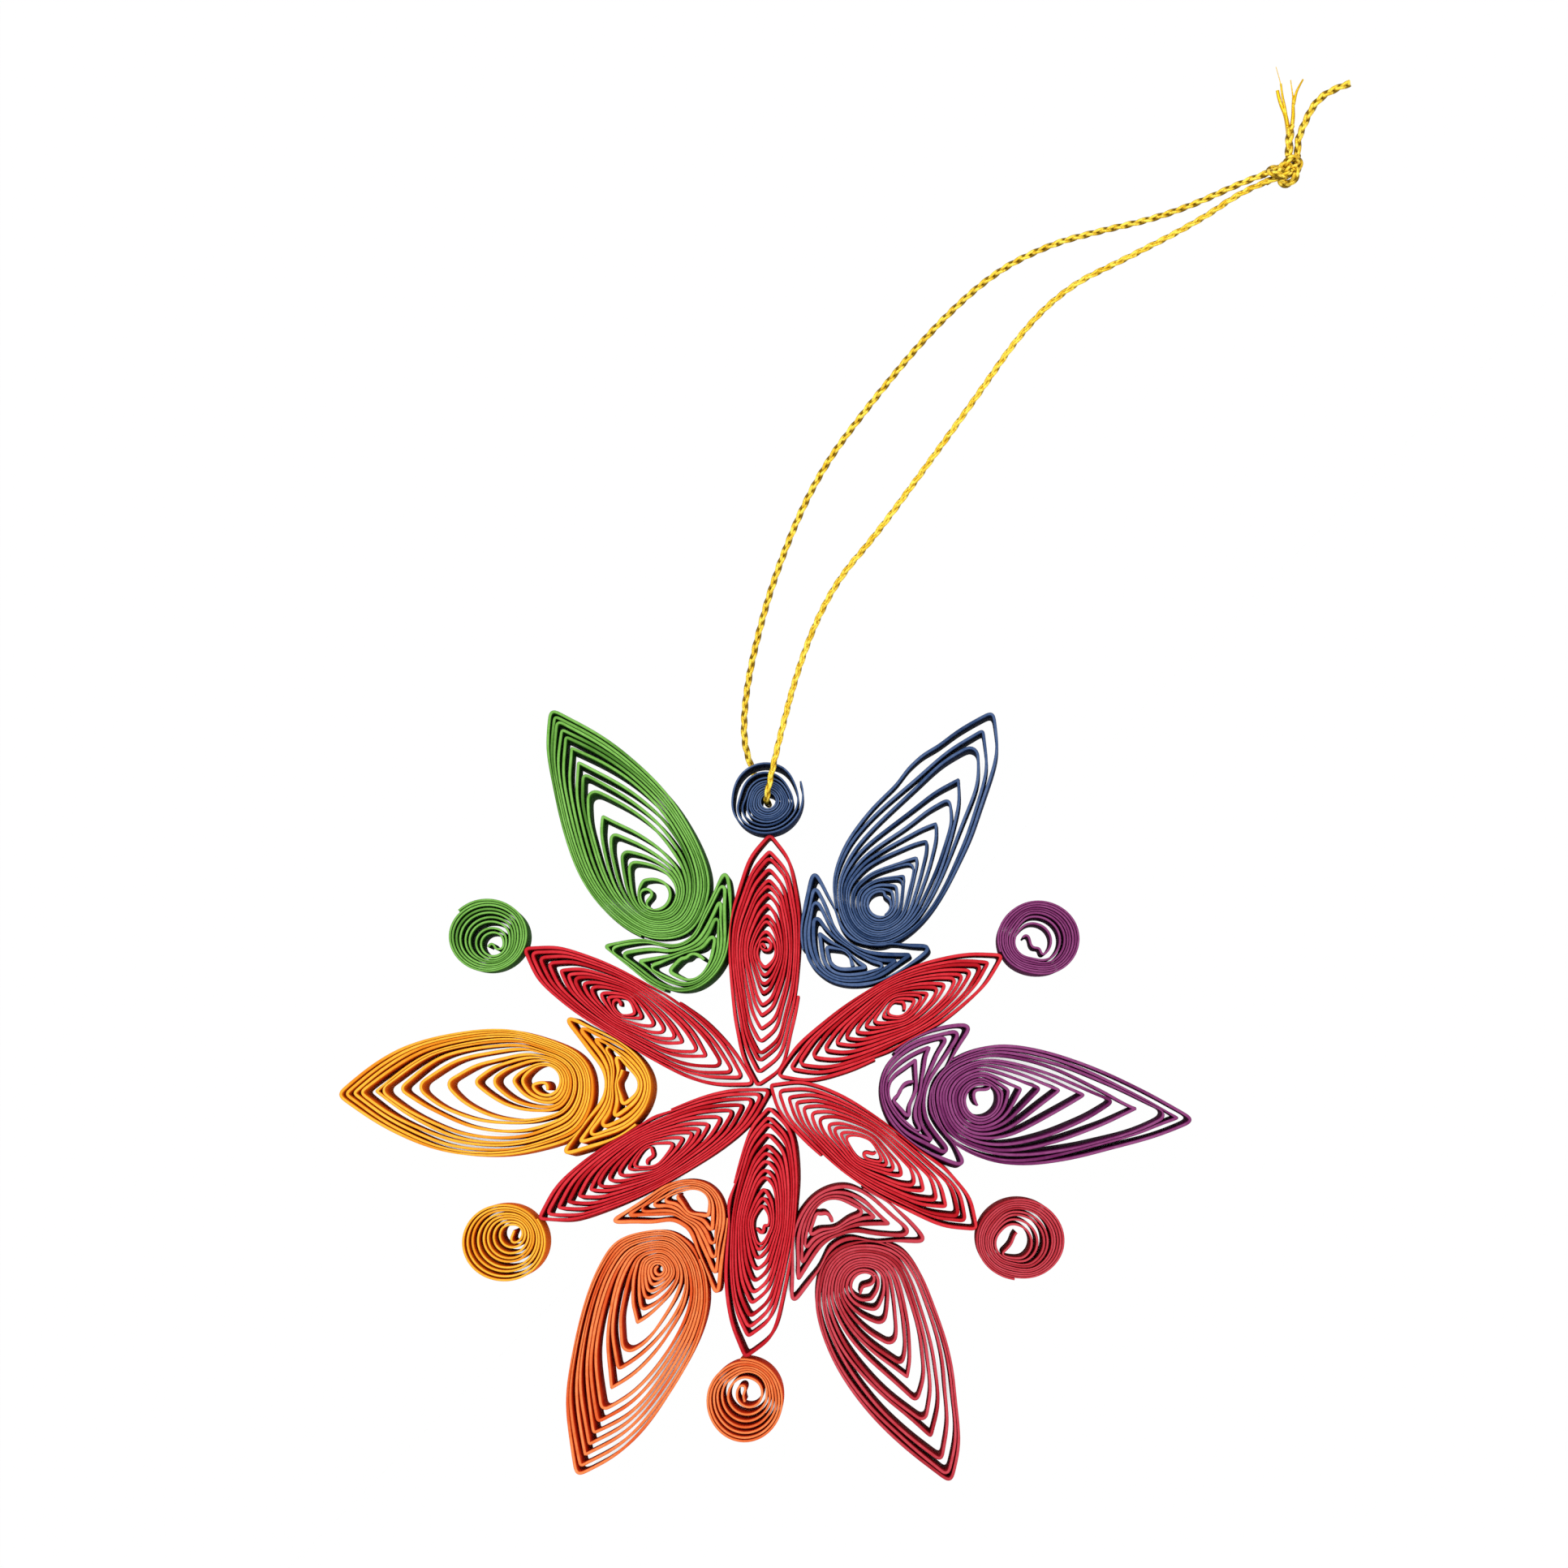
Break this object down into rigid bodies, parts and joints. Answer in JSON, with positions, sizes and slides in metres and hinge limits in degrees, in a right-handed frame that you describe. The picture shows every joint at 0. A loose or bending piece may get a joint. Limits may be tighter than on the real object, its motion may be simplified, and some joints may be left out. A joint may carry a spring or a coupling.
{
  "type": "quilled paper snowflake ornament",
  "caption": "Flat six-pointed hanging ornament of coiled paper strips standing on edge: petals, crescents, teardrops and round coils, with a loop of metallic cord.",
  "frame": {"origin": "middle of the paper ornament's outline, on the plane of its lower paper edges", "axes": "+Z is the ornament's face, towards the viewer of the picture; +X runs to the picture's right, along the longest span of the paper; +Y runs to the picture's top, towards the blue round coil with the cord"},
  "size_m": [0.1119, 0.154, 0.0072],
  "materials": {
    "red_paper": "matt, slightly mottled; cut edges a little paler",
    "green_paper": "matt, slightly mottled; cut edges a little paler",
    "blue_paper": "matt, slightly mottled; cut edges a little paler",
    "purple_paper": "matt, slightly mottled; cut edges a little paler",
    "crimson_paper": "matt, slightly mottled; cut edges a little paler",
    "orange_paper": "matt, slightly mottled; cut edges a little paler",
    "yellow_paper": "matt, slightly mottled; cut edges a little paler",
    "cord": "metallic gold two-ply thread"
  },
  "bodies": {
    "root": {"petal_top": "red_paper", "petal_upper_right": "red_paper", "petal_lower_right": "red_paper", "petal_bottom": "red_paper", "petal_lower_left": "red_paper", "petal_upper_left": "red_paper", "ear_green": "green_paper", "ear_blue": "blue_paper", "ear_purple": "purple_paper", "ear_crimson": "crimson_paper", "ear_orange": "orange_paper", "ear_yellow": "yellow_paper", "teardrop_green": "green_paper", "teardrop_blue": "blue_paper", "teardrop_purple": "purple_paper", "teardrop_crimson": "crimson_paper", "teardrop_orange": "orange_paper", "teardrop_yellow": "yellow_paper", "round_coil_green": "green_paper", "round_coil_blue": "blue_paper", "round_coil_purple": "purple_paper", "round_coil_crimson": "crimson_paper", "round_coil_orange": "orange_paper", "round_coil_yellow": "yellow_paper", "cord_front": "cord", "cord_back": "cord", "cord_knot": "cord", "cord_tail_left": "cord", "cord_tail_right": "cord"}
  },
  "joints": []
}
